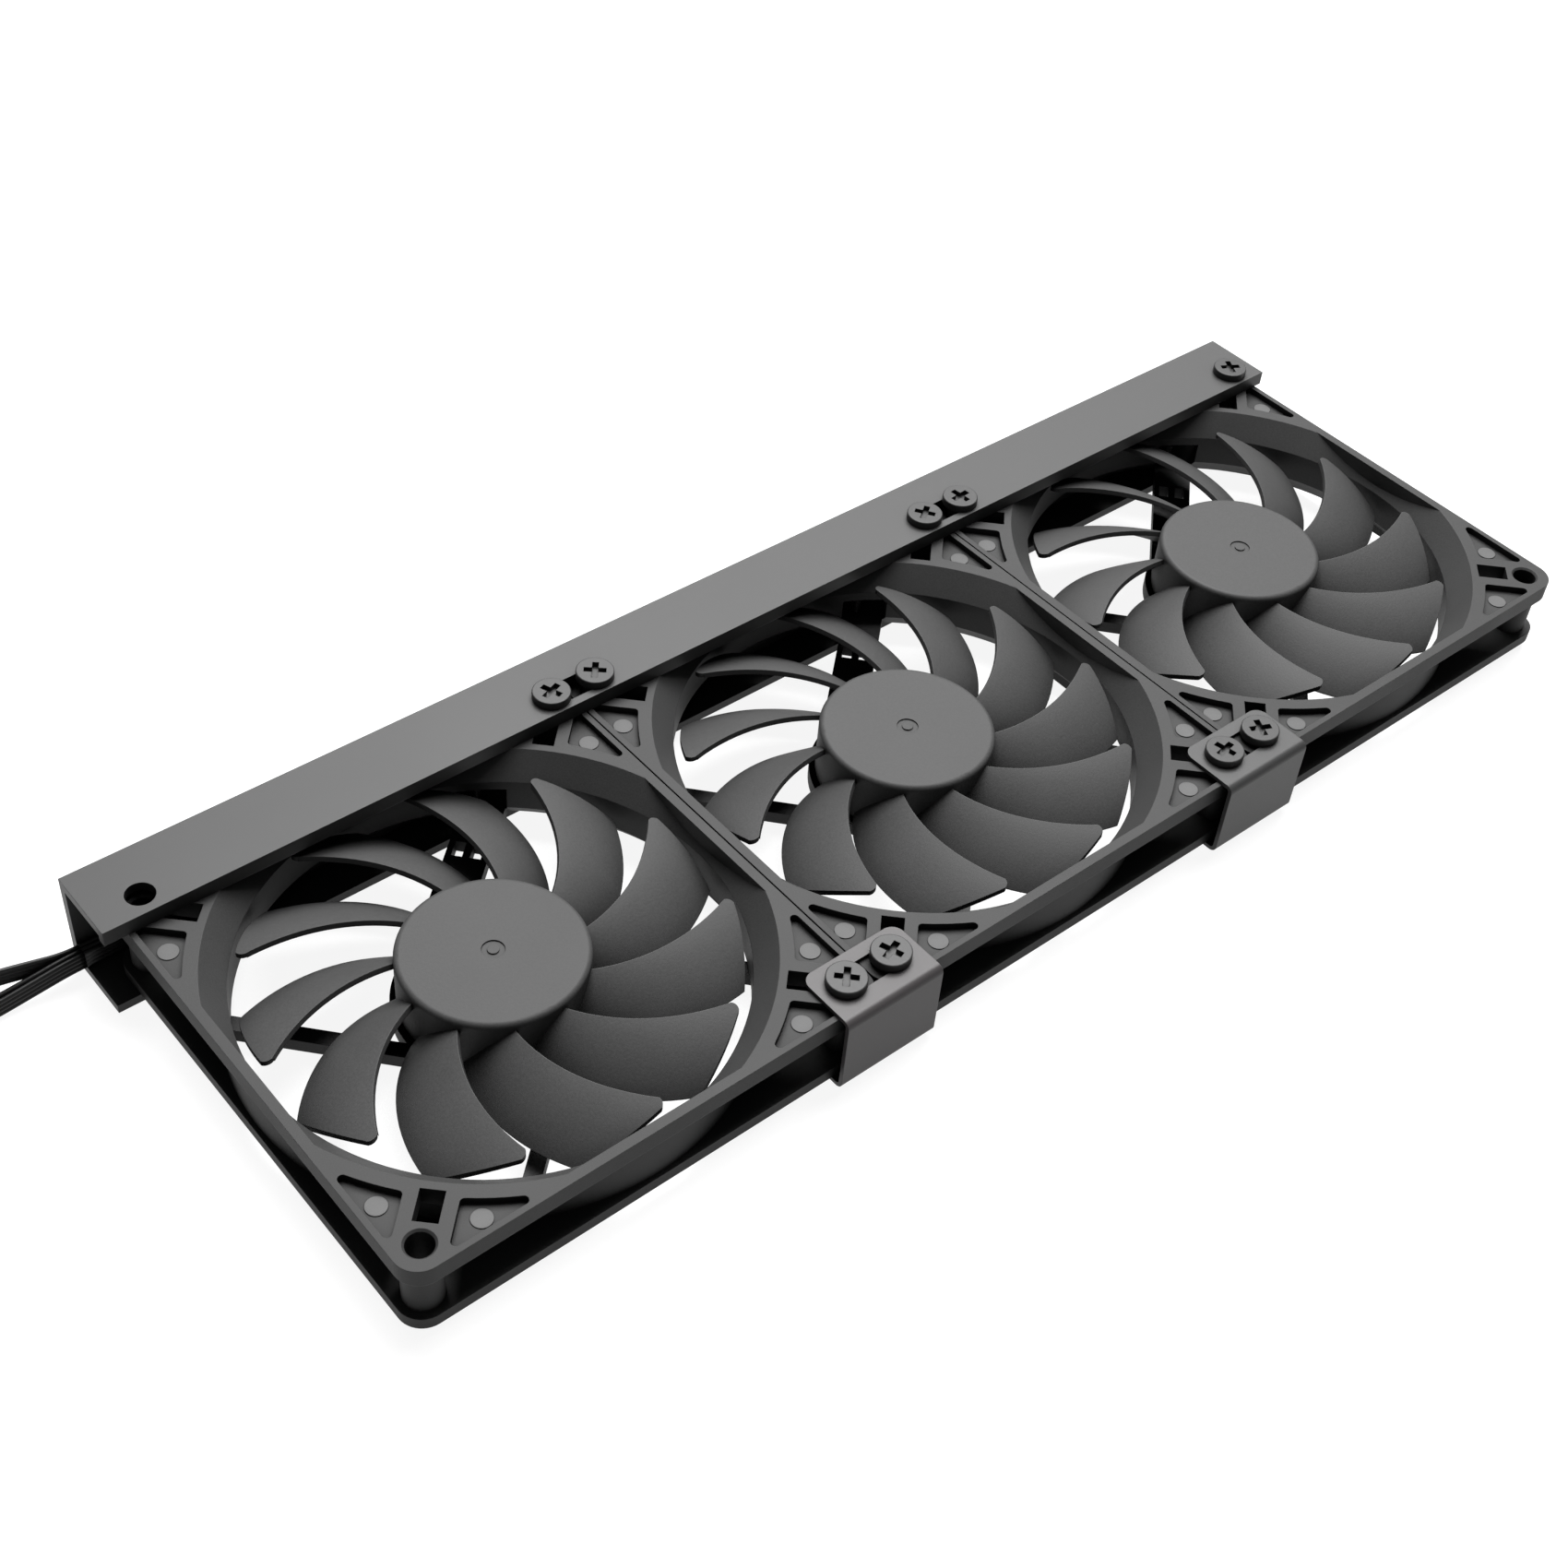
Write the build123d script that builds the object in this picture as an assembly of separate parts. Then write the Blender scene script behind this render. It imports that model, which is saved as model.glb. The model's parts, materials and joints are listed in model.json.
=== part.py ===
from build123d import *
import math
import os

# Triple slim-fan cooler: three axial fans side by side, held by a channel rail along their back edge
# and by two sheet clips across the front joints.  Millimetres, +Z up.  X runs along the rail, +Y points
# from the clips to the rail.  The origin is the bottom centre of the cooler without its leads.

# ---------------------------------------------------------------- fan frame
fan_side = 92.0
fan_thickness = 15.0
hole_from_edge = 4.75
fan_gap = 0.3
frame_corner_radius = 4.5
top_flange = 3.7
bottom_flange = 2.4
throat_radius = 43.2
barrel_wall = 2.0
inlet_flare = 4.1
inlet_depth = 4.6
outlet_flare = 3.2
outlet_depth = 4.0
inlet_land = 1.85
outlet_land = 1.2
post_radius = 3.4
screw_hole_radius = 2.3
screw_hole_chamfer = 0.4
slot_from_hole = 9.636
slot_length = 5.9
slot_width = 4.0
pocket_depth = 1.4
pocket_wall = 2.5
pocket_margin = 1.1
pocket_from_diagonal = 4.3
pocket_corner_radius = 0.8
disc_radius = 1.8
disc_height = 0.15
disc_from_edges = (3.7, 14.9)

# ---------------------------------------------------------------- motor base and struts
base_radius = 17.5
base_floor = 2.4
base_rim_height = 0.6
base_rim_wall = 1.2
strut_width = 3.0
strut_height = 2.6
strut_offset = 14.4
strut_angle = 42.0
strut_root = 0.8
duct_offset = 12.4
duct_width = 7.8
duct_window = (2.0, 3.6)
duct_window_place = 31.9
duct_window_offsets = (14.2, 10.8)
duct_open_angle = 58.5
duct_gate = (9.0, 6.0)
label_recess_radius = 15.0
label_recess_depth = 0.25
label_thickness = 0.2
label_margin = 0.4
clip_pocket_radius = 3.4

# ---------------------------------------------------------------- motor
shaft_radius = 1.5
bearing_clearance = 0.02
bearing_radius = 2.8
boss_radius = 3.7
boss_top = 10.4
bearing_top = 10.2
seat_radius = 4.4
seat_height = 4.6
board_radius = 14.2
board_thickness = 0.8
board_hole_clearance = 0.3
core_thickness = 3.6
core_radius = 12.2
core_ring = 2.2
pole_count = 4
pole_width = 3.6
pole_shoe = 1.4
pole_shoe_angle = 62.0
winding_wrap = 1.0
winding_reach = 3.0
magnet_inner_radius = 12.8
magnet_wall = 1.6
magnet_bottom = 4.3
magnet_height = 6.0
yoke_wall = 0.8
yoke_bottom = 4.3
yoke_hole_radius = 5.0

# ---------------------------------------------------------------- impeller
hub_wall = 1.2
hub_radius = magnet_inner_radius + magnet_wall + yoke_wall + hub_wall
hub_top = 14.3
hub_bottom = 3.5
hub_roof = 1.3
hub_edge_radius = 1.0
hub_mark_radius = 2.0
hub_mark_depth = 0.25
hub_boss_radius = 3.4
hub_boss_bottom = 11.0
shaft_bottom = 0.9
groove_radius = 1.1
groove_bottom = 1.5
groove_height = 0.4
retainer_radius = 2.3
retainer_thickness = 0.3
blade_count = 11
blade_tip_gap = 1.3
blade_thickness = 1.0
blade_sweep = 28.5
blade_root_chord = 29.5
blade_tip_chord = 22.6
blade_root_top = 12.2
blade_tip_top = 13.2
blade_root_bottom = 4.2
blade_tip_bottom = 6.6
blade_camber = 0.45
blade_corner_radius = 1.3
blade_rest_angles = (15.3, 26.0, 18.0)

# ---------------------------------------------------------------- rail
rail_depth = 15.1
rail_wall = 1.8
rail_cover = 9.0
rail_lip_height = 1.2
rail_lip_width = 1.6
rail_over_left = 4.3
rail_over_right = 1.8
mount_slot_width = 5.2

# ---------------------------------------------------------------- clips
clip_sheet = 0.8
clip_width = 20.8
clip_reach = 10.0
clip_stand_off = 2.5
clip_bend = 1.5
clip_corner_radius = 2.4

# ---------------------------------------------------------------- screws
head_radius = 3.6
head_height = 1.6
head_edge = 0.25
shank_radius = 2.25
shank_grip = 6.5
recess_span = 4.2
recess_width = 1.2
recess_depth = 1.0

rail_screw_turns = (20, 50, 35, 5, 60)
clip_screw_turns = (45, 20, 10, 65)

# ---------------------------------------------------------------- leads
ribbon_width = 3.6
ribbon_thickness = 0.95
ribbon_pitch = 1.0
lane_clearance = 0.1
lead_gate_height = 4.4
lead_outlet_height = 1.85
gate_x = 23.6
gate_y = 39.4
gate_lean = 0.4
lane_slope_start = 12.0
lane_slope_end = 36.0
free_straight = 3.0
coil_axis = (-48.0, 68.7)
coil_first_radii = (21.0, 20.4, 19.0)
coil_levels = (0.05, 3.85, 7.65)
coil_turns = (2.8333, 2.1667, 1.5)
coil_turn_pitch = 1.5
coil_slack = 0.1
tail_radius = 12.0
tail_turn = 120.0
tail_steps = 4
tail_straight = 1.5
plug_length = 7.6
plug_width = 9.8
plug_thickness = 4.6
plug_edge = 0.4
plug_rib = 0.6
plug_rib_length = 4.0
plug_ways = 4
plug_way_pitch = 2.0
plug_socket = 1.0
plug_socket_depth = 5.0
plug_clearance = 0.05
# Route of each free lead from the rail's end to its coil: x from the end, y and z from the fan's axis and base.
free_points = (
    ((-9, 47.75, 1.1), (-17, 47.65, 0.25), (-25, 47.5, 0.05), (-33, 47.6, 0.05)),
    ((-9, 48.85, 1.1), (-17, 48.8, 0.4), (-25, 48.8, 1.7), (-33, 48.6, 3.6)),
    ((-8, 49.95, 3.1), (-15, 50.1, 5.0), (-24, 50.0, 6.6), (-33, 49.8, 7.5)),
)

# ---------------------------------------------------------------- derived places
pitch = fan_side + fan_gap
half_side = fan_side / 2
hole_place = half_side - hole_from_edge
hole_pitch = 2 * hole_place
inlet_radius = throat_radius + inlet_flare
outlet_radius = throat_radius + outlet_flare
slot_from_axis = hole_place * math.sqrt(2) - slot_from_hole
rail_left = -pitch - half_side - rail_over_left
rail_right = pitch + half_side + rail_over_right
rail_front = half_side - rail_cover
rail_back = rail_front + rail_depth
clip_front = -half_side - clip_stand_off
middle_x = -(rail_left + rail_right) / 2
middle_y = -(rail_back + clip_front) / 2
fan_base_z = rail_wall
fan_names = ("left", "middle", "right")
fan_x = (-pitch, 0.0, pitch)
rail_top = fan_thickness + rail_lip_height + rail_wall
hub_inner = hub_radius - hub_wall
tip_radius = throat_radius - blade_tip_gap


def tube(outer, inner, bottom, top):
    """A ring about the fan axis."""
    ring = Pos(0, 0, bottom) * Cylinder(outer, top - bottom, align=(Align.CENTER, Align.CENTER, Align.MIN))
    return ring - Pos(0, 0, bottom) * Cylinder(inner, top - bottom, align=(Align.CENTER, Align.CENTER, Align.MIN))


def disc(radius, bottom, top):
    """A round plate about the fan axis."""
    return Pos(0, 0, bottom) * Cylinder(radius, top - bottom, align=(Align.CENTER, Align.CENTER, Align.MIN))


def slab(width, depth, bottom, top):
    """A rectangular block centred on the fan axis."""
    return Pos(0, 0, bottom) * Box(width, depth, top - bottom, align=(Align.CENTER, Align.CENTER, Align.MIN))


def corners():
    """The four screw-hole places of a fan."""
    return [(sx * hole_place, sy * hole_place) for sx in (-1, 1) for sy in (-1, 1)]


def flange(bottom, thickness):
    """One square flange of the fan frame with rounded corners."""
    outline = RectangleRounded(fan_side, fan_side, frame_corner_radius)
    return Pos(0, 0, bottom) * extrude(outline, thickness)


def flared_mouth(mouth_radius, depth, land, at_top):
    """The conical mouth of the throat, cut off flat along the four sides of the frame."""
    cone = Cone(throat_radius, mouth_radius, depth, align=(Align.CENTER, Align.CENTER, Align.MIN))
    side = fan_side - 2 * land
    mouth = cone & slab(side, side, 0, depth)
    if at_top:
        return Pos(0, 0, fan_thickness - depth) * mouth
    return Pos(0, 0, depth) * (Rot(180, 0, 0) * mouth)


def corner_slot():
    """The rectangular slot on the diagonal, between a screw hole and the mouth."""
    middle = slot_from_axis + slot_length / 2
    block = Pos(middle, 0, fan_thickness - top_flange) * Box(
        slot_length, slot_width, top_flange, align=(Align.CENTER, Align.CENTER, Align.MIN))
    return Rot(0, 0, 45) * block


def corner_pockets():
    """The pair of blind triangular pockets beside one screw hole, each with an ejector disc."""
    reach = half_side - pocket_margin
    outline = Pos(reach / 2, reach / 2) * Rectangle(reach, reach)
    outline -= Circle(inlet_radius + pocket_wall)
    outline -= Rot(0, 0, 45) * Pos(half_side, 0) * Rectangle(2 * half_side, 2 * pocket_from_diagonal)
    outline = fillet(outline.vertices(), pocket_corner_radius)
    floor = fan_thickness - pocket_depth
    pockets = Pos(0, 0, floor) * extrude(outline, pocket_depth)
    near, far = disc_from_edges
    for x, y in ((half_side - near, half_side - far), (half_side - far, half_side - near)):
        pockets -= Pos(x, y, 0) * disc(disc_radius, floor, floor + disc_height)
    return pockets


def strut(offset, width):
    """One strut of the motor base, tangent to a circle about the axis, rooted in the outlet wall."""
    bar = Pos(base_radius / 3, offset, 0) * Box(
        half_side, width, strut_height, align=(Align.MIN, Align.CENTER, Align.MIN))
    bar = bar & Cone(outlet_radius + strut_root, throat_radius + strut_root, outlet_depth,
                     align=(Align.CENTER, Align.CENTER, Align.MIN))
    return bar - disc(base_radius - base_rim_wall, base_floor, strut_height)


def lead_duct():
    """The wide rear strut that carries the lead, with two small lacing windows."""
    duct = strut(duct_offset, duct_width)
    for offset in duct_window_offsets:
        duct -= Pos(duct_window_place, offset, 0) * Box(
            duct_window[1], duct_window[0], strut_height, align=(Align.CENTER, Align.CENTER, Align.MIN))
    return Rot(0, 0, strut_angle) * duct


def motor_base():
    """The round motor base with its bearing boss, stator seat and label recess."""
    base = disc(base_radius, 0, base_floor)
    base += tube(base_radius, base_radius - base_rim_wall, base_floor, base_floor + base_rim_height)
    base += disc(seat_radius, base_floor, seat_height)
    base += disc(boss_radius, seat_height, boss_top)
    base -= disc(bearing_radius, base_floor, boss_top)
    base -= disc(clip_pocket_radius, 0, base_floor)
    base -= disc(label_recess_radius, 0, label_recess_depth)
    return base


def fan_frame():
    """The moulded fan housing: two flanges, barrel, posts, struts and motor base in one piece."""
    frame = flange(0, bottom_flange) + flange(fan_thickness - top_flange, top_flange)
    barrel = disc(throat_radius + barrel_wall, 0, fan_thickness)
    frame += barrel
    for x, y in corners():
        frame += Pos(x, y, 0) * disc(post_radius, 0, fan_thickness)
    frame -= disc(throat_radius, 0, fan_thickness)
    frame -= flared_mouth(inlet_radius, inlet_depth, inlet_land, True)
    frame -= flared_mouth(outlet_radius, outlet_depth, outlet_land, False)
    for x, y in corners():
        frame -= Pos(x, y, 0) * disc(screw_hole_radius, 0, fan_thickness)
        sink = Cone(screw_hole_radius, screw_hole_radius + screw_hole_chamfer, screw_hole_chamfer,
                    align=(Align.CENTER, Align.CENTER, Align.MAX))
        frame -= Pos(x, y, fan_thickness) * sink
    for turn in range(4):
        frame -= Rot(0, 0, 90 * turn) * corner_slot()
        frame -= Rot(0, 0, 90 * turn) * corner_pockets()
    gate = Pos(throat_radius, 0, 0) * Box(
        2 * barrel_wall + duct_gate[1], duct_gate[0], duct_gate[1], align=(Align.CENTER, Align.CENTER, Align.MIN))
    frame -= Rot(0, 0, duct_open_angle) * Pos(0, 0, strut_height) * gate
    arms = motor_base()
    for turn in range(1, 4):
        arms += Rot(0, 0, strut_angle + 90 * turn) * strut(strut_offset, strut_width)
    arms += lead_duct()
    arms -= disc(label_recess_radius, 0, label_recess_depth)
    arms -= disc(clip_pocket_radius, 0, base_floor)
    return frame + arms


def blade_point(radius, chord_share):
    """A point of the blade's camber surface: chord_share runs from the leading to the trailing edge."""
    span = (radius - hub_radius) / (tip_radius - hub_radius)
    lead = math.radians(blade_sweep * (span - 1))
    chord = math.radians(blade_root_chord + (blade_tip_chord - blade_root_chord) * span)
    top = blade_root_top + (blade_tip_top - blade_root_top) * span
    bottom = blade_root_bottom + (blade_tip_bottom - blade_root_bottom) * span
    drop = (1 - blade_camber) * chord_share + blade_camber * chord_share ** 2
    angle = lead - chord * chord_share
    return Vector(radius * math.cos(angle), radius * math.sin(angle), top - (top - bottom) * drop)


def leading_corner():
    """What the rounding of a blade's leading tip takes away, seen from above."""
    tip = Vector(tip_radius, 0, 0)
    edge = blade_point(tip_radius - blade_corner_radius, 0)
    inward = (Vector(edge.X, edge.Y, 0) - tip).normalized()
    along = Vector(0, -1, 0)
    half_angle = math.radians(inward.get_angle(along)) / 2
    reach = blade_corner_radius / math.tan(half_angle)
    centre = tip + (inward + along).normalized() * (blade_corner_radius / math.sin(half_angle))
    spare = (tip - centre).normalized() * blade_corner_radius
    wedge = make_face(Polyline(tip + inward * reach, tip + spare + inward * reach, tip + spare * 2,
                               tip + spare + along * reach, tip + along * reach, centre, close=True))
    cutter = extrude(wedge, hub_top)
    return cutter - Pos(centre.X, centre.Y, 0) * disc(blade_corner_radius, 0, hub_top)


def blade():
    """One forward-swept sickle blade, trimmed to the hub and to the tip circle."""
    inner = hub_inner + hub_wall / 4
    outer = tip_radius + 1
    rows = 9
    columns = 7
    grid = []
    for row in range(rows):
        radius = inner + (outer - inner) * row / (rows - 1)
        grid.append([blade_point(radius, column / (columns - 1)) for column in range(columns)])
    sheet = Face.make_surface_from_array_of_points(grid, tol=0.01, min_deg=2, max_deg=4)
    body = Solid.thicken(sheet, blade_thickness / 2, normal_override=(0, 0, 1))
    body += Solid.thicken(sheet, -blade_thickness / 2, normal_override=(0, 0, 1))
    body = body & tube(tip_radius, hub_inner + hub_wall / 2, hub_bottom, hub_top)
    return body - leading_corner()


def impeller(rest_angle):
    """Hub cup and blades as one moulding."""
    hub = disc(hub_radius, hub_bottom, hub_top)
    hub = fillet(hub.edges().group_by(Axis.Z)[-1], hub_edge_radius)
    hub -= disc(hub_inner, hub_bottom, hub_top - hub_roof)
    hub -= tube(hub_mark_radius, hub_mark_radius / 2, hub_top - hub_mark_depth, hub_top)
    hub += disc(hub_boss_radius, hub_boss_bottom, hub_top - hub_roof)
    hub -= disc(shaft_radius, hub_boss_bottom, hub_top - hub_roof)
    one = blade()
    blades = [Rot(0, 0, rest_angle + 360 / blade_count * k) * one for k in range(blade_count)]
    return hub + blades


def rotor_yoke():
    """The steel cup pressed into the hub."""
    roof = hub_top - hub_roof
    cup = disc(hub_inner, yoke_bottom, roof)
    cup -= disc(hub_inner - yoke_wall, yoke_bottom, roof - yoke_wall)
    return cup - disc(yoke_hole_radius, roof - yoke_wall, roof)


def magnet_ring():
    """The ring magnet inside the yoke."""
    return tube(magnet_inner_radius + magnet_wall, magnet_inner_radius, magnet_bottom, magnet_bottom + magnet_height)


def shaft():
    """The steel shaft with its retaining groove."""
    pin = disc(shaft_radius, shaft_bottom, hub_top - hub_roof)
    return pin - tube(shaft_radius, groove_radius, groove_bottom, groove_bottom + groove_height)


def retaining_clip():
    """The split washer that snaps into the shaft's groove."""
    low = groove_bottom + (groove_height - retainer_thickness) / 2
    ring = tube(retainer_radius, groove_radius, low, low + retainer_thickness)
    return ring - Pos(retainer_radius / 2, 0, low) * Box(
        retainer_radius, groove_radius, retainer_thickness, align=(Align.MIN, Align.CENTER, Align.MIN))


def sleeve_bearing():
    """The sintered sleeve in the boss."""
    return tube(bearing_radius, shaft_radius + bearing_clearance, base_floor, bearing_top)


def stator_core():
    """The lamination stack: a ring on the boss and four T-shaped poles."""
    low = seat_height
    high = low + core_thickness
    core = disc(boss_radius + core_ring, low, high)
    for k in range(pole_count):
        pole = Pos(boss_radius, 0, low) * Box(
            core_radius - boss_radius - pole_shoe / 2, pole_width, core_thickness,
            align=(Align.MIN, Align.CENTER, Align.MIN))
        core += Rot(0, 0, 360 / pole_count * k) * pole
    shoes = tube(core_radius, core_radius - pole_shoe, low, high)
    gap = 360 / pole_count - pole_shoe_angle
    gap_width = 2 * core_radius * math.sin(math.radians(gap / 2))
    for k in range(pole_count):
        cut = Pos(core_radius, 0, low) * Box(
            4 * pole_shoe, gap_width, core_thickness, align=(Align.CENTER, Align.CENTER, Align.MIN))
        shoes -= Rot(0, 0, 360 / pole_count * (k + 0.5)) * cut
    return core + shoes - disc(boss_radius, low, high)


def windings():
    """The four copper coils on the poles."""
    low = seat_height - winding_wrap
    inner = boss_radius + core_ring + board_hole_clearance
    coils = []
    for k in range(pole_count):
        coil = Pos(inner, 0, low) * Box(
            winding_reach, pole_width + 2 * winding_wrap, core_thickness + 2 * winding_wrap,
            align=(Align.MIN, Align.CENTER, Align.MIN))
        coil = fillet(coil.edges().filter_by(Axis.X), winding_wrap * 0.9)
        coil -= Pos(inner, 0, seat_height) * Box(
            winding_reach, pole_width, core_thickness, align=(Align.MIN, Align.CENTER, Align.MIN))
        coils.append(Rot(0, 0, 360 / pole_count * k) * coil)
    return coils


def circuit_board():
    """The round driver board that lies on the motor base."""
    hole = seat_radius + board_hole_clearance
    return tube(board_radius, hole, base_floor, base_floor + board_thickness)


def back_label():
    """The blank round label over the bearing pocket."""
    radius = label_recess_radius - label_margin
    return disc(radius, label_recess_depth - label_thickness, label_recess_depth)


def obround_cut(x, y, length, bottom, top):
    """A slot along X for a pair of neighbouring screws."""
    return Pos(x, y, bottom) * extrude(SlotOverall(length, mount_slot_width), top - bottom)


def pair_slot_length():
    """End-to-end length of the slot that takes the two screws at a fan joint."""
    return pitch - hole_pitch + mount_slot_width


def rail():
    """The channel rail: top plate with a bearing lip, back wall and bottom plate, open to the fans."""
    low = -rail_wall
    profile = Polyline(
        (rail_front, rail_top), (rail_back, rail_top), (rail_back, low), (rail_front, low), (rail_front, 0),
        (rail_back - rail_wall, 0), (rail_back - rail_wall, rail_top - rail_wall),
        (rail_front + rail_lip_width, rail_top - rail_wall), (rail_front + rail_lip_width, fan_thickness),
        (rail_front, fan_thickness), close=True)
    section = Plane.YZ * make_face(profile)
    channel = Pos(rail_left, 0, 0) * extrude(section, rail_right - rail_left)
    plate = (rail_top - rail_wall, rail_top)
    for x in (-pitch / 2, pitch / 2):
        channel -= obround_cut(x, hole_place, pair_slot_length(), *plate)
    for x in (-pitch - hole_place, pitch + hole_place):
        channel -= Pos(x, hole_place, 0) * disc(mount_slot_width / 2, *plate)
    return channel


def clip():
    """The bent sheet clip across a fan joint: top plate, front web and bottom lip."""
    top = fan_thickness + clip_sheet
    back = -half_side + clip_reach
    section = Polyline((back, top), (clip_front, top), (clip_front, -clip_sheet), (back, -clip_sheet), (back, 0),
                       (clip_front + clip_sheet, 0), (clip_front + clip_sheet, fan_thickness),
                       (back, fan_thickness), close=True)
    face = Plane.YZ * make_face(section)
    body = Pos(-clip_width / 2, 0, 0) * extrude(face, clip_width)
    along = body.edges().filter_by(Axis.X)
    outer = along.filter_by(lambda e: abs(e.center().Y - clip_front) < clip_sheet / 4)
    body = fillet(outer, clip_bend)
    inner = body.edges().filter_by(Axis.X).filter_by(
        lambda e: abs(e.center().Y - clip_front - clip_sheet) < clip_sheet / 4)
    body = fillet(inner, clip_bend - clip_sheet)
    ends = body.edges().filter_by(Axis.Z).filter_by(lambda e: abs(e.center().Y - back) < clip_sheet / 4)
    body = fillet(ends, clip_corner_radius)
    return body - obround_cut(0, -hole_place, pair_slot_length(), fan_thickness, top)


def screw(turn):
    """A flat-headed fan screw with a cross recess; its head stands on z = 0."""
    head = disc(head_radius, 0, head_height)
    head = fillet(head.edges().group_by(Axis.Z)[-1], head_edge)
    for angle in (0, 90):
        head -= Rot(0, 0, turn + angle) * slab(recess_span, recess_width, head_height - recess_depth, head_height)
    return head


def screw_with_shank(turn, seat_height_above_fan):
    """The screw's head and the plain body of its thread-forming shank."""
    return screw(turn) + disc(shank_radius, -seat_height_above_fan - shank_grip, 0)


def ribbon(points):
    """A flat lead that stands on edge and follows straight runs joined by tangent arcs."""
    radii = []
    for before, here, after in zip(points, points[1:], points[2:]):
        first = Vector(*here) - Vector(*before)
        second = Vector(*after) - Vector(*here)
        turn = math.radians(first.get_angle(second))
        radii.append(0.45 * min(first.length, second.length) / math.tan(turn / 2))
    path = FilletPolyline(*points, radius=radii)
    start = Plane(origin=path @ 0, x_dir=(0, 0, 1), z_dir=path % 0)
    section = start * Rectangle(ribbon_width, ribbon_thickness)
    body = sweep(section, path)
    print("lead radii", [round(r, 1) for r in radii], "length", round(path.length, 1),
          "volume ratio", round(body.volume / (path.length * ribbon_width * ribbon_thickness), 3))
    return body


def plug():
    """A socket housing with a row of ways, its lead end at x = 0 and its mouth at x = plug_length."""
    body = Box(plug_length, plug_thickness, plug_width, align=(Align.MIN, Align.CENTER, Align.CENTER))
    body = fillet(body.edges().filter_by(Axis.X), plug_edge)
    for side in (-1, 1):
        rib = Pos(plug_length - plug_rib_length, plug_thickness / 2, side * plug_way_pitch) * Box(
            plug_rib_length, plug_rib, plug_rib, align=(Align.MIN, Align.MIN, Align.CENTER))
        body += rib
    for way in range(plug_ways):
        body -= Pos(plug_length, 0, (way - (plug_ways - 1) / 2) * plug_way_pitch) * Box(
            plug_socket_depth, plug_socket, plug_socket, align=(Align.MAX, Align.CENTER, Align.CENTER))
    return body


def wound_radius(index):
    """Radius of a coil's innermost turn."""
    return coil_first_radii[index] - coil_turn_pitch * coil_turns[index]


def coil_block(centre, index):
    """The outer shape of one wound lead: a flat ring."""
    spare = ribbon_thickness / 2 + coil_slack
    low = centre[2] - ribbon_width / 2
    ring = tube(coil_first_radii[index] + spare, wound_radius(index) - spare, low, low + ribbon_width)
    return Pos(centre[0], centre[1], 0) * ring


def around(centre, radius, angle, height):
    """A point at a radius and an angle in degrees about a centre."""
    turn = math.radians(angle)
    return (centre[0] + radius * math.cos(turn), centre[1] + radius * math.sin(turn), height)


def meeting_distance(index):
    """How far before its tangent point a free lead first touches its coil's outer face."""
    outer = coil_first_radii[index] + ribbon_thickness / 2 + coil_slack
    return math.sqrt(outer ** 2 - (coil_first_radii[index] - ribbon_thickness / 2) ** 2) + coil_slack


def tail_points(centre, index, height):
    """The bend from the inside of a coil into the plug, which it reaches at the plug's height."""
    end = -90 - 360 * coil_turns[index]
    inner = wound_radius(index)
    offset = inner - tail_radius
    bend = around(centre, offset, end, centre[2])
    free_radius = inner - ribbon_thickness - 2 * coil_slack
    leave = math.degrees(math.acos((free_radius ** 2 - tail_radius ** 2 - offset ** 2) / (2 * tail_radius * offset)))
    step_turn = (tail_turn - leave) / tail_steps
    corner_radius = tail_radius / math.cos(math.radians(step_turn / 2))
    points = [around(bend, tail_radius, end - leave, centre[2])]
    for step in range(tail_steps):
        level = centre[2] + (height - centre[2]) * step / (tail_steps - 1)
        points.append(around(bend, corner_radius, end - leave - step_turn * (step + 0.5), level))
    heading = end - tail_turn - 90
    last = around(bend, tail_radius, end - tail_turn, height)
    points.append(around(last, tail_straight, heading, height))
    return points, heading


def lead_pieces(index):
    """One fan lead: its run in the rail, its free stretch, its wound length and its plug."""
    fan_at = fan_x[index]
    back = rail_back - rail_wall - lane_clearance - ribbon_thickness / 2
    lane = back - ribbon_pitch * (len(fan_x) - 1 - index)
    in_rail = [(fan_at + gate_x, gate_y, lead_gate_height), (fan_at + gate_x + gate_lean, lane, lead_gate_height),
               (fan_at - lane_slope_start, lane, lead_gate_height),
               (fan_at - lane_slope_end, lane, lead_outlet_height), (rail_left, lane, lead_outlet_height)]
    centre = (rail_left + coil_axis[0], coil_axis[1], coil_levels[index])
    out = [(rail_left, lane, lead_outlet_height), (rail_left - free_straight, lane, lead_outlet_height)]
    out += [(rail_left + x, y, z) for x, y, z in free_points[index]]
    out.append((centre[0] + meeting_distance(index), centre[1] - coil_first_radii[index], centre[2]))
    height = plug_width / 2 + plug_clearance - rail_wall
    tail, heading = tail_points(centre, index, height)
    housing = Pos(*tail[-1]) * Rot(0, 0, heading) * plug()
    return ribbon(in_rail), [ribbon(out), ribbon(tail)], coil_block(centre, index), housing


def gather(shapes):
    """Several separate solids as one node."""
    solids = []
    for shape in shapes:
        solids += shape.solids()
    return Compound(solids)


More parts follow.
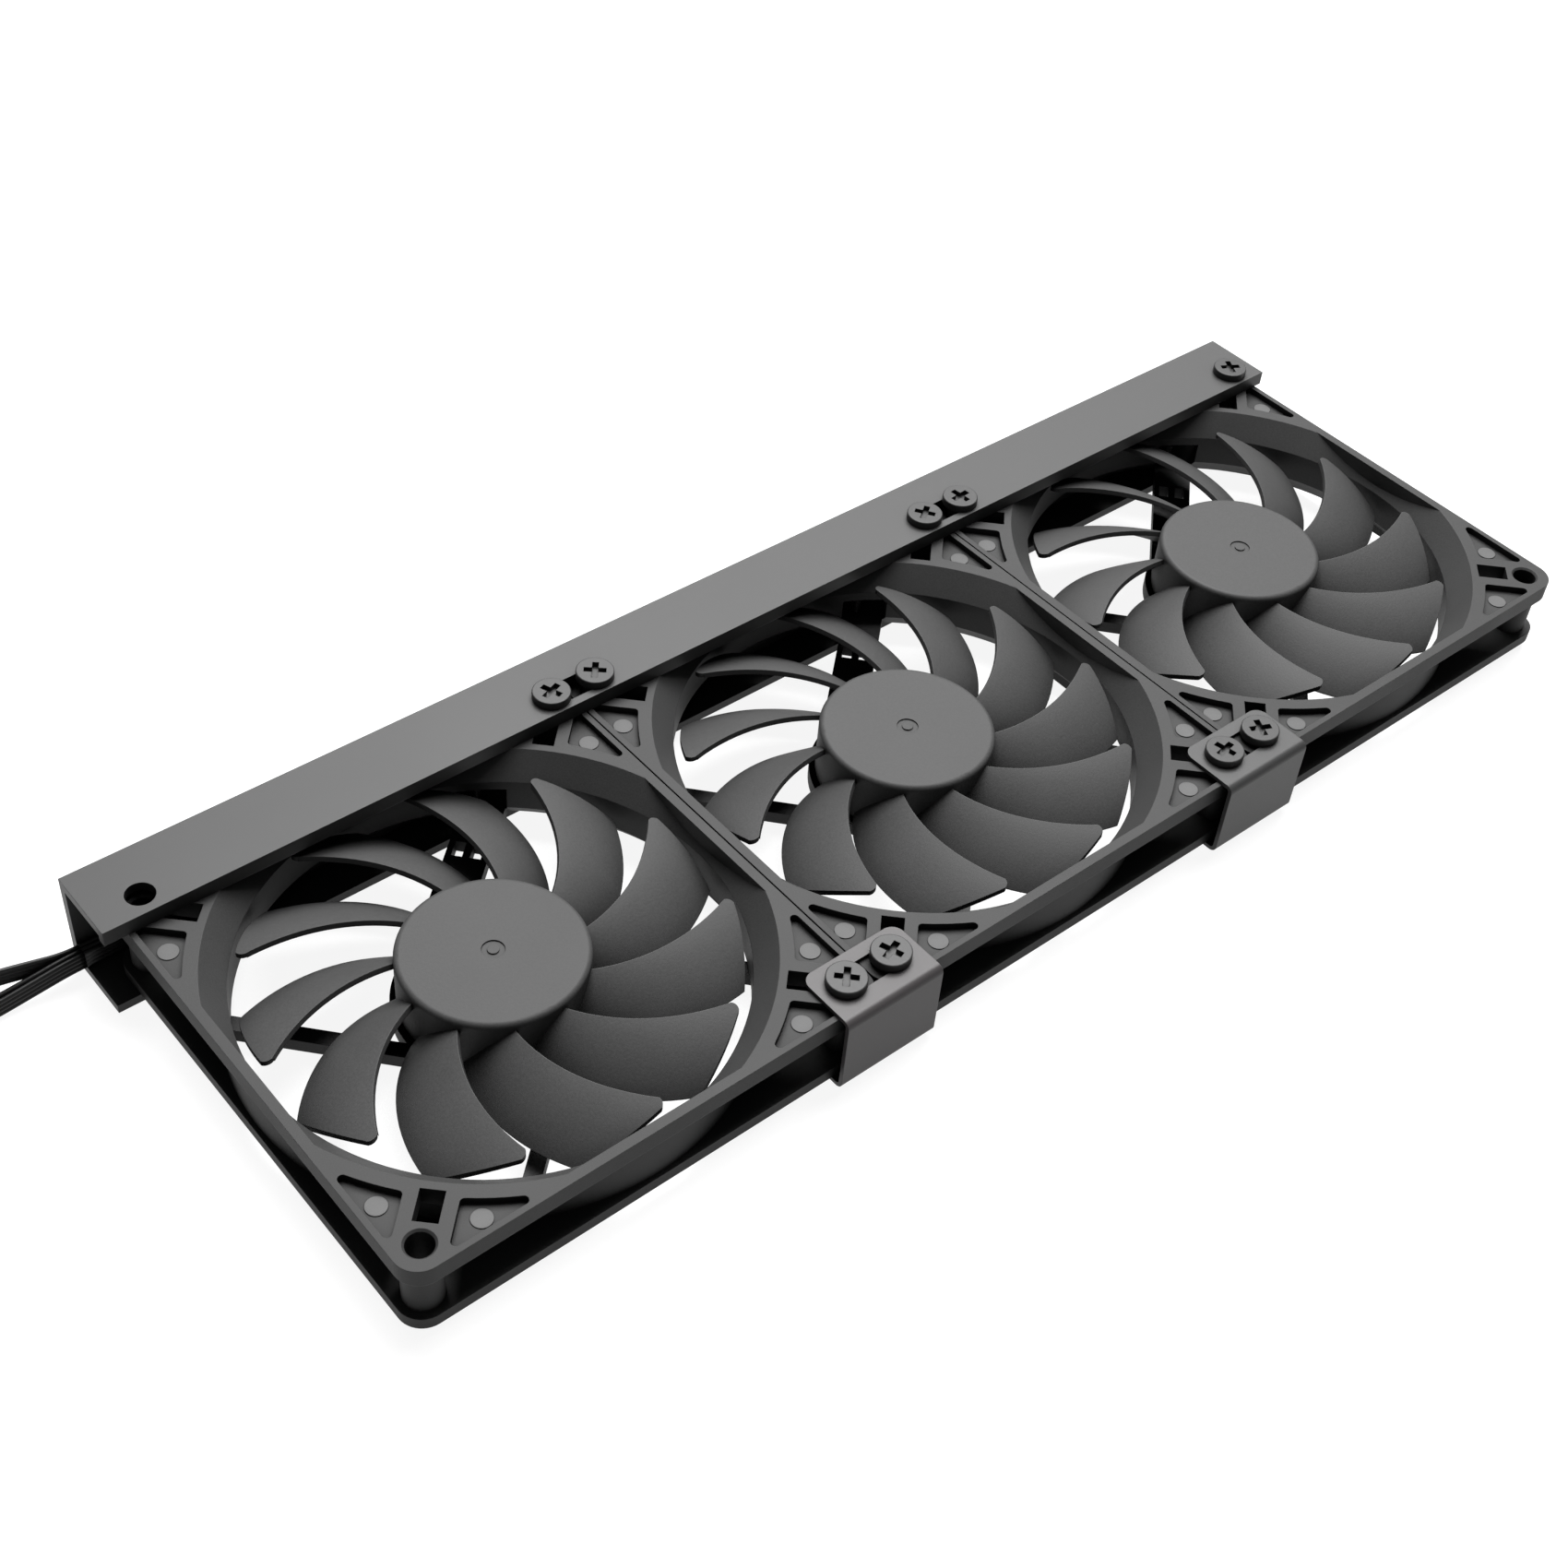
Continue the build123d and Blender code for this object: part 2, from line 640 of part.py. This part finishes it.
place = Pos(middle_x, middle_y, fan_base_z)
nodes = {}
nodes["mounting_rail"] = rail()
for side, x in (("left", -pitch / 2), ("right", pitch / 2)):
    nodes["clip_" + side] = Pos(x, 0, 0) * clip()
rail_screw_x = (-pitch + hole_place, -hole_place, hole_place, pitch - hole_place, pitch + hole_place)
nodes["rail_screws"] = gather(
    [Pos(x, hole_place, rail_top) * screw_with_shank(turn, rail_top - fan_thickness)
     for x, turn in zip(rail_screw_x, rail_screw_turns)])
clip_screw_x = (-pitch + hole_place, -hole_place, hole_place, pitch - hole_place)
nodes["clip_screws"] = gather(
    [Pos(x, -hole_place, fan_thickness + clip_sheet) * screw_with_shank(turn, clip_sheet)
     for x, turn in zip(clip_screw_x, clip_screw_turns)])
fan_makers = {"frame": fan_frame(), "rotor_yoke": rotor_yoke(), "magnet_ring": magnet_ring(), "shaft": shaft(),
              "retaining_clip": retaining_clip(), "sleeve_bearing": sleeve_bearing(),
              "stator_core": stator_core(), "windings": gather(windings()),
              "circuit_board": circuit_board(), "back_label": back_label()}
for name, x, angle in zip(fan_names, fan_x, blade_rest_angles):
    nodes[name + "_impeller"] = Pos(x, 0, 0) * impeller(angle)
    for piece, shape in fan_makers.items():
        nodes[name + "_" + piece] = Pos(x, 0, 0) * shape
for index, name in enumerate(fan_names):
    run, free, ring, housing = lead_pieces(index)
    nodes[name + "_lead_in_rail"] = run
    nodes[name + "_lead"] = gather(free)
    nodes[name + "_lead_coil"] = ring
    nodes[name + "_lead_plug"] = housing

os.makedirs("parts", exist_ok=True)
for node, shape in nodes.items():
    export_step(place * shape, "parts/" + node + ".step")
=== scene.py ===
import json
import math

import bpy
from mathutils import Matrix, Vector


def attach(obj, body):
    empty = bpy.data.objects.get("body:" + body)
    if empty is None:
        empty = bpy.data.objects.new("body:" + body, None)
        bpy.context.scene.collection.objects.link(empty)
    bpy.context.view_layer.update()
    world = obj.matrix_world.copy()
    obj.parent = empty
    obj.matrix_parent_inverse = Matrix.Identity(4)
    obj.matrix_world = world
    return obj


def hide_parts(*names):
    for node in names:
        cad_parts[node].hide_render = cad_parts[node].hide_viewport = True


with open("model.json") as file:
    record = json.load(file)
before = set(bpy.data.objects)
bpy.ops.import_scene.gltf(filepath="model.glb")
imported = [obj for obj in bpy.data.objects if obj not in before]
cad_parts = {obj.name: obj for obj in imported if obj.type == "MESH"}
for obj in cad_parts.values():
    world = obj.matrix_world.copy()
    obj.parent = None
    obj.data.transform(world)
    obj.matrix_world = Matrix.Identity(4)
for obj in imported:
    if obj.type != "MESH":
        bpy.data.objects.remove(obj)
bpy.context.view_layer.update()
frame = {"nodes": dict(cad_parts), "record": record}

# Triple slim-fan cooler on its channel rail, with its clips, screws and flat leads.  Metres, +Z up.
scene = bpy.context.scene
MM = 0.001  # one millimetre in metres
FANS = ("left", "middle", "right")


# ---------------------------------------------------------------- camera
def make_camera():
    """The viewing camera, above and in front of the rail's near end."""
    data = bpy.data.cameras.new("view_camera")
    data.lens = 51.44
    data.sensor_width = 36.0
    data.clip_start = 0.01
    camera = bpy.data.objects.new("view_camera", data)
    camera.location = (-0.22527, -0.20860, 0.29610)
    camera.rotation_euler = [math.radians(angle) for angle in (45.6375, -3.8364, -39.7941)]
    scene.collection.objects.link(camera)
    scene.camera = camera


make_camera()

# ---------------------------------------------------------------- leads
# Lengths in millimetres.  Points are given from the rail's left end, the fan axes and the fans' base.
RAIL_END = -141.35
FAN_LINE = -1.8
BASE_LEVEL = 1.8
LANES = (47.725, 48.725, 49.725)
OUTLET_LEVEL = 1.85
GATE_LEVEL = 4.4
FAN_PLACES = (-92.3, 0.0, 92.3)
RAIL_LEFT = -142.6
WIRE_RADIUS = 0.475
WIRE_SPACING = 0.875
WIRE_COUNT = 4
WEB = 0.26
COIL_AXIS = (-48.0, 68.7)
COIL_RADII = (21.0, 20.4, 19.0)
COIL_LEVELS = (0.05, 3.85, 7.65)
COIL_TURNS = (2.8333, 2.1667, 1.5)
TURN_PITCH = 1.5
TURN_POINTS = 24
TAIL_RADIUS = 12.0
TAIL_TURN = 120.0
TAIL_LEAVE = (47.6, 46.2, 47.6)
TAIL_STEPS = 4
TAIL_STRAIGHT = 1.5
PLUG_LEVEL = 3.15
FREE_POINTS = (
    ((-9, 47.75, 1.1), (-17, 47.65, 0.25), (-25, 47.5, 0.05), (-33, 47.6, 0.05)),
    ((-9, 48.85, 1.1), (-17, 48.8, 0.4), (-25, 48.8, 1.7), (-33, 48.6, 3.6)),
    ((-8, 49.95, 3.1), (-15, 50.1, 5.0), (-24, 50.0, 6.6), (-33, 49.8, 7.5)),
)


def placed(x, y, z):
    """A point given from the rail's left end, the fan axes and the fan base, in the cooler's frame."""
    return Vector((RAIL_END + x, FAN_LINE + y, BASE_LEVEL + z)) * MM


def turned(centre, radius, angle, level):
    """A point at a radius and an angle in degrees about a centre, in the lead's millimetres."""
    turn = math.radians(angle)
    return (centre[0] + radius * math.cos(turn), centre[1] + radius * math.sin(turn), level)


def free_route(index):
    """Control points of a free lead: out of the rail, round its coil and into its plug."""
    lane = LANES[index]
    points = [(0.0, lane, OUTLET_LEVEL), (-3.0, lane, OUTLET_LEVEL)]
    points += FREE_POINTS[index]
    level = COIL_LEVELS[index]
    step = 360 / TURN_POINTS
    spread = 1 / math.cos(math.radians(step / 2))
    last_angle = 360 * COIL_TURNS[index]
    angle = step / 2
    while angle < last_angle:
        radius = (COIL_RADII[index] - TURN_PITCH * angle / 360) * spread
        points.append(turned(COIL_AXIS, radius, -90 - angle, level))
        angle += step
    end = -90 - last_angle
    inner = COIL_RADII[index] - TURN_PITCH * COIL_TURNS[index]
    bend = turned(COIL_AXIS, inner - TAIL_RADIUS, end, level)
    leave = TAIL_LEAVE[index]
    for share in (0.25, 0.75):
        spread = 1 / math.cos(math.radians(leave / 4))
        points.append(turned(bend, TAIL_RADIUS * spread, end - leave * share, level))
    step = (TAIL_TURN - leave) / TAIL_STEPS
    spread = 1 / math.cos(math.radians(step / 2))
    for k in range(TAIL_STEPS):
        height = level + (PLUG_LEVEL - level) * k / (TAIL_STEPS - 1)
        points.append(turned(bend, TAIL_RADIUS * spread, end - leave - step * (k + 0.5), height))
    last = turned(bend, TAIL_RADIUS, end - TAIL_TURN, PLUG_LEVEL)
    points.append(turned(last, TAIL_STRAIGHT, end - TAIL_TURN - 90, PLUG_LEVEL))
    return [placed(*point) for point in points]


def rail_route(index):
    """Control points of a lead's run from its fan's gate to the rail's left end."""
    fan = FAN_PLACES[index] - RAIL_LEFT
    lane = LANES[index]
    points = [(fan + 23.6, 39.4, GATE_LEVEL), (fan + 24.0, lane - 3.6, GATE_LEVEL), (fan + 24.0, lane, GATE_LEVEL),
              (fan + 20.0, lane, GATE_LEVEL), (fan - 12.0, lane, GATE_LEVEL), (fan - 36.0, lane, OUTLET_LEVEL),
              (0.0, lane, OUTLET_LEVEL)]
    return [placed(*point) for point in points]


def line_of(points, resolution):
    """Points along the smooth line that the control points give."""
    curve = bpy.data.curves.new("route", "CURVE")
    curve.dimensions = "3D"
    curve.resolution_u = resolution
    spline = curve.splines.new("NURBS")
    spline.points.add(len(points) - 1)
    for slot, point in zip(spline.points, points):
        slot.co = (*point, 1.0)
    spline.order_u = 3
    spline.use_endpoint_u = True
    holder = bpy.data.objects.new("route", curve)
    scene.collection.objects.link(holder)
    bpy.context.view_layer.update()
    mesh = bpy.data.meshes.new_from_object(holder)
    line = [vertex.co.copy() for vertex in mesh.vertices]
    bpy.data.objects.remove(holder)
    bpy.data.curves.remove(curve)
    bpy.data.meshes.remove(mesh)
    return line


def ribbon_outline():
    """Outline of the flat lead: round wires side by side, joined by thin webs; (across, up) in metres."""
    rise = []
    samples = 6
    for wire in range(WIRE_COUNT):
        middle = (wire - (WIRE_COUNT - 1) / 2) * WIRE_SPACING
        for k in range(samples + 1):
            turn = math.pi * (k / samples - 0.5)
            up = WIRE_RADIUS * math.sin(turn)
            if abs(up) > WIRE_SPACING / 2 and 0 < wire + (up > 0) < WIRE_COUNT:
                continue
            rise.append((max(WIRE_RADIUS * math.cos(turn), WEB * (0 < wire + (up > 0) < WIRE_COUNT)), middle + up))
    mirrored = [(-across, up) for across, up in reversed(rise) if across > WIRE_RADIUS / 10]
    return [(across * MM, up * MM) for across, up in rise + mirrored]


def make_ribbon(name, points, resolution):
    """A flat lead that stands on edge along a route."""
    line = line_of(points, resolution)
    outline = ribbon_outline()
    vertices = []
    for k, here in enumerate(line):
        ahead = line[min(k + 1, len(line) - 1)] - line[max(k - 1, 0)]
        ahead.normalize()
        side = ahead.cross(Vector((0, 0, 1))).normalized()
        up = side.cross(ahead)
        vertices += [here + side * across + up * rise for across, rise in outline]
    count = len(outline)
    faces = []
    for ring in range(len(line) - 1):
        low = ring * count
        for k in range(count):
            after = (k + 1) % count
            faces.append((low + k, low + after, low + count + after, low + count + k))
    faces.append(tuple(reversed(range(count))))
    faces.append(tuple(range(len(vertices) - count, len(vertices))))
    mesh = bpy.data.meshes.new(name)
    mesh.from_pydata([tuple(v) for v in vertices], [], faces)
    mesh.polygons.foreach_set("use_smooth", [True] * len(mesh.polygons))
    mesh.update()
    piece = bpy.data.objects.new(name, mesh)
    scene.collection.objects.link(piece)
    return piece, line


def length_of(line):
    """Length of a line of points."""
    return sum((after - before).length for before, after in zip(line, line[1:]))


lead_pieces = []
for index, fan in enumerate(FANS):
    free, line = make_ribbon(fan + "_free_lead", free_route(index), 6)
    print("free lead", fan, round(length_of(line), 4))
    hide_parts(fan + "_lead", fan + "_lead_coil")
    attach(free, "root")
    tuple(placed(0.0, LANES[index], OUTLET_LEVEL))
    held, line = make_ribbon(fan + "_rail_lead", rail_route(index), 8)
    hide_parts(fan + "_lead_in_rail")
    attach(held, "root")
    lead_pieces += [free, held]


# ---------------------------------------------------------------- material maths
class Signal:
    """One output of a node; arithmetic on it adds Math nodes to its tree."""

    def __init__(self, socket):
        self.socket = socket

    def math(self, operation, *values, clamp=False):
        return add_node(self.socket.id_data, "ShaderNodeMath", {"operation": operation, "use_clamp": clamp},
                        dict(enumerate(values)))

    def __add__(self, other):
        return self.math("ADD", self, other)

    __radd__ = __add__

    def __mul__(self, other):
        return self.math("MULTIPLY", self, other)

    __rmul__ = __mul__

    def __sub__(self, other):
        return self.math("SUBTRACT", self, other)

    def __rsub__(self, other):
        return self.math("SUBTRACT", other, self)

    def clipped(self):
        """The value held between 0 and 1."""
        return self.math("ADD", self, 0.0, clamp=True)

    def between(self, low, high):
        """0 at low and below, 1 at high and above, smooth between."""
        return add_node(self.socket.id_data, "ShaderNodeMapRange", {"interpolation_type": "SMOOTHSTEP"},
                        {"Value": self, "From Min": low, "From Max": high})


def add_node(tree, kind, settings, inputs, output=0):
    """Any node: its settings first, then the values or links of its sockets."""
    node = tree.nodes.new(kind)
    for key, value in settings.items():
        setattr(node, key, value)
    for key, value in inputs.items():
        if isinstance(value, Signal):
            tree.links.new(value.socket, node.inputs[key])
        else:
            node.inputs[key].default_value = value
    return Signal(node.outputs[output])


def mixed(tree, factor, first, second):
    """A colour between two colours or colour signals."""
    return add_node(tree, "ShaderNodeMix", {"data_type": "RGBA"}, {0: factor, 6: first, 7: second}, 2)


def grey(value, warmth=0.0):
    """A near-neutral colour."""
    return (value * (1 + warmth), value * (1 - warmth / 3), value, 1.0)


class Finish:
    """A material being built: its tree, its object coordinates and its shader's inputs."""

    def __init__(self, name, roughness, metallic=0.0, specular=0.5, coat=0.0, coat_roughness=0.2):
        self.material = bpy.data.materials.new(name)
        self.material.use_nodes = True
        self.tree = self.material.node_tree
        self.shader = self.tree.nodes["Principled BSDF"]
        self.set("Roughness", roughness)
        self.set("Metallic", metallic)
        self.set("Specular IOR Level", specular)
        self.set("Coat Weight", coat)
        self.set("Coat Roughness", coat_roughness)
        self.place = self.node("ShaderNodeTexCoord", {}, {}, "Object")

    def node(self, kind, settings, inputs, output=0):
        """A node in this material's tree."""
        return add_node(self.tree, kind, settings, inputs, output)

    def set(self, key, value):
        """Gives a shader input a value or links a signal to it."""
        if isinstance(value, Signal):
            self.tree.links.new(value.socket, self.shader.inputs[key])
        else:
            self.shader.inputs[key].default_value = value

    def noise(self, size, detail=2.0, roughness=0.5, stretch=None):
        """Noise whose grains are about size metres across."""
        place = self.place
        if stretch:
            place = self.node("ShaderNodeVectorMath", {"operation": "MULTIPLY"}, {0: place, 1: stretch})
        return self.node("ShaderNodeTexNoise", {},
                         {"Vector": place, "Scale": 1 / size, "Detail": detail, "Roughness": roughness}, "Fac")

    def axes(self):
        """The three object coordinates as signals."""
        split = self.node("ShaderNodeSeparateXYZ", {}, {0: self.place})
        return [Signal(socket) for socket in split.socket.node.outputs]

    def rounded(self, radius):
        """The surface normal with its sharp edges rounded."""
        return self.node("ShaderNodeBevel", {"samples": 6}, {"Radius": radius})

    def edge(self, rounded):
        """1 on rounded edges and 0 on flat faces."""
        plain = self.node("ShaderNodeNewGeometry", {}, {}, "Normal")
        facing = self.node("ShaderNodeVectorMath", {"operation": "DOT_PRODUCT"}, {0: rounded, 1: plain}, "Value")
        return (1 - facing).between(0.01, 0.12)

    def painted_shade_openness(self, reach):
        """Painted shade: 0 deep in recesses and between close faces, 1 on open ones."""
        return self.node("ShaderNodeAmbientOcclusion", {"samples": 6}, {"Distance": reach}, "AO").between(0.15, 0.95)

    def bump(self, height, depth, strength, normal):
        """Raises the surface by a height signal, depth metres at most."""
        self.set("Normal", self.node("ShaderNodeBump", {}, {
            "Height": height, "Distance": depth, "Strength": strength, "Normal": normal}))


def moulded(name, colour, roughness, grain, depth, edge_wear_and_highlight_gain, reach, marked=False, bevel=0.18 * MM):
    """Dark moulded plastic with a fine eroded texture, edges lightened partly as wear and partly as painted
    highlight, and recesses darkened as painted shade; marked adds the frame's ejector marks.
    """
    finish = Finish(name, roughness, specular=0.12)
    rounded = finish.rounded(bevel)
    edge = finish.edge(rounded)
    fine = finish.noise(grain, 3.0, 0.6)
    cloud = finish.noise(14 * MM, 3.0, 0.5)
    tone = (fine - 0.5) * 0.9 + (cloud - 0.5) * 0.35 + 0.5
    body = mixed(finish.tree, tone.clipped(), grey(colour * 0.72), grey(colour * 1.30))
    # Edges are lightened towards colour × 2.6: partly wear, partly painted highlight.
    coat = mixed(finish.tree, edge * edge_wear_and_highlight_gain, body, grey(colour * 2.6))
    if marked:
        marks = ejector_marks(finish)
        coat = mixed(finish.tree, marks, coat, grey(colour * 2.6))
        fine = fine * (1 - marks * 0.8)
    # Painted shade: recesses and gaps between parts are darkened towards colour × 0.15.
    finish.set("Base Color", mixed(finish.tree, finish.painted_shade_openness(reach), grey(colour * 0.15), coat))
    finish.set("Roughness", (fine - 0.5) * 0.16 + (cloud - 0.5) * 0.12 + roughness)
    finish.bump(fine, depth, 0.6, rounded)
    return finish.material


def ejector_marks(finish):
    """1 on the smooth round marks in the corner pockets of each fan frame, 0 elsewhere."""
    along, across, level = finish.axes()
    x = along.math("PINGPONG", along - 1.25 * MM, 46.15 * MM)
    y = across.math("ABSOLUTE", across + 1.8 * MM)
    far = x.math("MAXIMUM", x, y) - 42.3 * MM
    near = x.math("MINIMUM", x, y) - 31.1 * MM
    distance = far.math("SQRT", far * far + near * near)
    return (1 - distance.between(1.70 * MM, 1.82 * MM)) * level.between(15.0 * MM, 15.2 * MM)


def painted(name, colour, warmth, roughness, peel, edge_wear_and_highlight_gain, reach):
    """Satin paint on sheet metal, with faint orange peel, edges lightened partly as wear and partly as painted
    highlight, and recesses darkened as painted shade.
    """
    finish = Finish(name, roughness, specular=0.18, coat=0.02, coat_roughness=0.35)
    rounded = finish.rounded(0.15 * MM)
    edge = finish.edge(rounded)
    fine = finish.noise(0.28 * MM, 2.0)
    skin = finish.noise(peel, 2.0)
    cloud = finish.noise(30 * MM, 3.0)
    # Edges are lightened towards colour × 3.2 where the noise allows: partly wear, partly painted highlight.
    wear_and_highlight = edge * finish.noise(1.6 * MM, 3.0).between(0.35, 0.75)
    tone = ((fine - 0.5) * 0.35 + (cloud - 0.5) * 0.5 + 0.5).clipped()
    body = mixed(finish.tree, tone, grey(colour * 0.86, warmth), grey(colour * 1.14, warmth))
    coat = mixed(finish.tree, wear_and_highlight * edge_wear_and_highlight_gain, body, grey(colour * 3.2))
    # Painted shade: recesses and gaps are darkened towards colour × 0.15.
    finish.set("Base Color", mixed(finish.tree, finish.painted_shade_openness(reach), grey(colour * 0.15), coat))
    finish.set("Roughness", (fine - 0.5) * 0.10 + (cloud - 0.5) * 0.10 + roughness)
    finish.bump(skin * 0.7 + fine * 0.3, 0.012 * MM, 0.5, rounded)
    return finish.material


def metal(name, colour, roughness, grain, stretch, brushed):
    """Bare metal with brushed or sintered grain."""
    finish = Finish(name, roughness, metallic=1.0)
    rounded = finish.rounded(0.08 * MM)
    fine = finish.noise(grain, 3.0, 0.6, stretch)
    cloud = finish.noise(4 * MM, 2.0)
    low = tuple(c * 0.8 for c in colour) + (1.0,)
    high = tuple(min(c * 1.15, 1.0) for c in colour) + (1.0,)
    finish.set("Base Color", mixed(finish.tree, (fine * 0.6 + cloud * 0.4).clipped(), low, high))
    finish.set("Roughness", (fine - 0.5) * 0.2 + roughness)
    finish.bump(fine, 0.01 * MM, brushed, rounded)
    return finish.material


def flat_lead(name):
    """Black soft vinyl of the leads."""
    finish = Finish(name, 0.42, specular=0.2)
    fine = finish.noise(0.5 * MM, 2.0)
    cloud = finish.noise(9 * MM, 2.0)
    tone = (fine * 0.5 + cloud * 0.5).clipped()
    finish.set("Base Color", mixed(finish.tree, tone, grey(0.003), grey(0.008)))
    finish.set("Roughness", (cloud - 0.5) * 0.2 + 0.42)
    plain = finish.node("ShaderNodeNewGeometry", {}, {}, "Normal")
    finish.bump(fine, 0.01 * MM, 0.4, plain)
    return finish.material


def coloured(name, low, high, roughness, grain, depth, coat=0.0):
    """Plastic, lacquer or board whose colour varies between two tones."""
    finish = Finish(name, roughness, coat=coat)
    rounded = finish.rounded(0.08 * MM)
    fine = finish.noise(grain, 3.0)
    cloud = finish.noise(5 * MM, 2.0)
    tone = (fine * 0.5 + cloud * 0.5).clipped()
    finish.set("Base Color", mixed(finish.tree, tone, (*low, 1.0), (*high, 1.0)))
    finish.set("Roughness", (fine - 0.5) * 0.15 + roughness)
    finish.bump(fine, depth, 0.5, rounded)
    return finish.material


# In the painted and moulded finishes, the last two numbers are the edge lightening (partly wear, partly painted
# highlight) and the reach of the painted shade in recesses.
MATERIALS = {
    "rail": painted("rail_paint", 0.030, 0.0, 0.46, 1.3 * MM, 0.5, 12 * MM),
    "clip": painted("clip_paint", 0.028, 0.0, 0.40, 1.1 * MM, 0.5, 4 * MM),
    "clip_warm": painted("warm_clip_paint", 0.034, 0.06, 0.40, 1.1 * MM, 0.5, 4 * MM),
    "screw": painted("screw_black", 0.024, 0.0, 0.42, 0.5 * MM, 0.6, 2 * MM),
    "fan_frame": moulded("frame_plastic", 0.027, 0.56, 0.34 * MM, 0.03 * MM, 0.35, 10 * MM, marked=True),
    "impeller": moulded("impeller_plastic", 0.035, 0.54, 0.44 * MM, 0.04 * MM, 0.30, 14 * MM),
    "yoke_steel": metal("yoke_steel", (0.55, 0.55, 0.56), 0.34, 0.4 * MM, (1, 1, 0.1), 0.4),
    "magnet": coloured("magnet_rubber", (0.05, 0.045, 0.04), (0.10, 0.09, 0.085), 0.6, 0.3 * MM, 0.02 * MM),
    "shaft_steel": metal("shaft_steel", (0.70, 0.70, 0.72), 0.18, 0.3 * MM, (1, 1, 0.05), 0.2),
    "retainer": coloured("retainer_nylon", (0.62, 0.62, 0.58), (0.75, 0.75, 0.71), 0.4, 0.3 * MM, 0.01 * MM),
    "bearing_bronze": metal("bearing_bronze", (0.60, 0.45, 0.28), 0.45, 0.15 * MM, None, 0.6),
    "core_steel": metal("core_laminations", (0.42, 0.42, 0.43), 0.45, 0.35 * MM, (0.05, 0.05, 1), 0.7),
    "copper": metal("winding_copper", (0.72, 0.36, 0.20), 0.32, 0.22 * MM, (0.1, 0.1, 1), 0.8),
    "board": coloured("board_green", (0.015, 0.10, 0.04), (0.03, 0.17, 0.07), 0.35, 0.5 * MM, 0.02 * MM, 0.4),
    "label": coloured("label_film", (0.42, 0.42, 0.43), (0.52, 0.52, 0.53), 0.35, 0.6 * MM, 0.005 * MM, 0.2),
    "lead": flat_lead("lead_vinyl"),
    "plug": coloured("plug_nylon", (0.62, 0.61, 0.56), (0.72, 0.71, 0.66), 0.42, 0.4 * MM, 0.01 * MM),
}
for part in frame["record"]["subparts"]:
    node = frame["nodes"][part["node"]]
    node.data.materials.clear()
    node.data.materials.append(MATERIALS[part["material_slot"]])
for piece in lead_pieces:
    piece.data.materials.append(MATERIALS["lead"])


# ---------------------------------------------------------------- stage and light
def make_floor():
    """A plain pale floor."""
    mesh = bpy.data.meshes.new("floor")
    reach = 6.0
    mesh.from_pydata([(-reach, -reach, 0), (reach, -reach, 0), (reach, reach, 0), (-reach, reach, 0)], [],
                     [(0, 1, 2, 3)])
    floor = bpy.data.objects.new("floor", mesh)
    floor.location = (0, 0, -0.0003)
    scene.collection.objects.link(floor)
    finish = Finish("floor_card", 0.9, specular=0.1)
    tone = finish.noise(0.4, 2.0)
    finish.set("Base Color", mixed(finish.tree, tone, grey(0.15), grey(0.17)))
    finish.set("Emission Color", grey(1.0))
    finish.set("Emission Strength", 0.90)
    mesh.materials.append(finish.material)


def add_lamp(name, place, aim, size, power):
    """A soft rectangular lamp that faces a point."""
    data = bpy.data.lights.new(name, "AREA")
    data.shape = "RECTANGLE"
    data.size, data.size_y = size
    data.energy = power
    lamp = bpy.data.objects.new(name, data)
    lamp.location = place
    lamp.rotation_euler = (Vector(aim) - Vector(place)).to_track_quat("-Z", "Y").to_euler()
    scene.collection.objects.link(lamp)


make_floor()
add_lamp("overhead", (0.38, 0.38, 1.15), (0, 0, 0), (1.0, 0.9), 60.0)
add_lamp("back_right", (0.75, 0.75, 0.70), (0.05, 0, 0), (0.8, 0.6), 5.0)
add_lamp("front_left", (-0.90, -0.70, 0.60), (0, 0, 0), (0.8, 0.8), 0.8)

world = bpy.data.worlds.new("studio")
scene.world = world
world.use_nodes = True
world.node_tree.nodes["Background"].inputs["Color"].default_value = (1.0, 1.0, 1.0, 1.0)
world.node_tree.nodes["Background"].inputs["Strength"].default_value = 0.10
scene.view_settings.view_transform = "Standard"
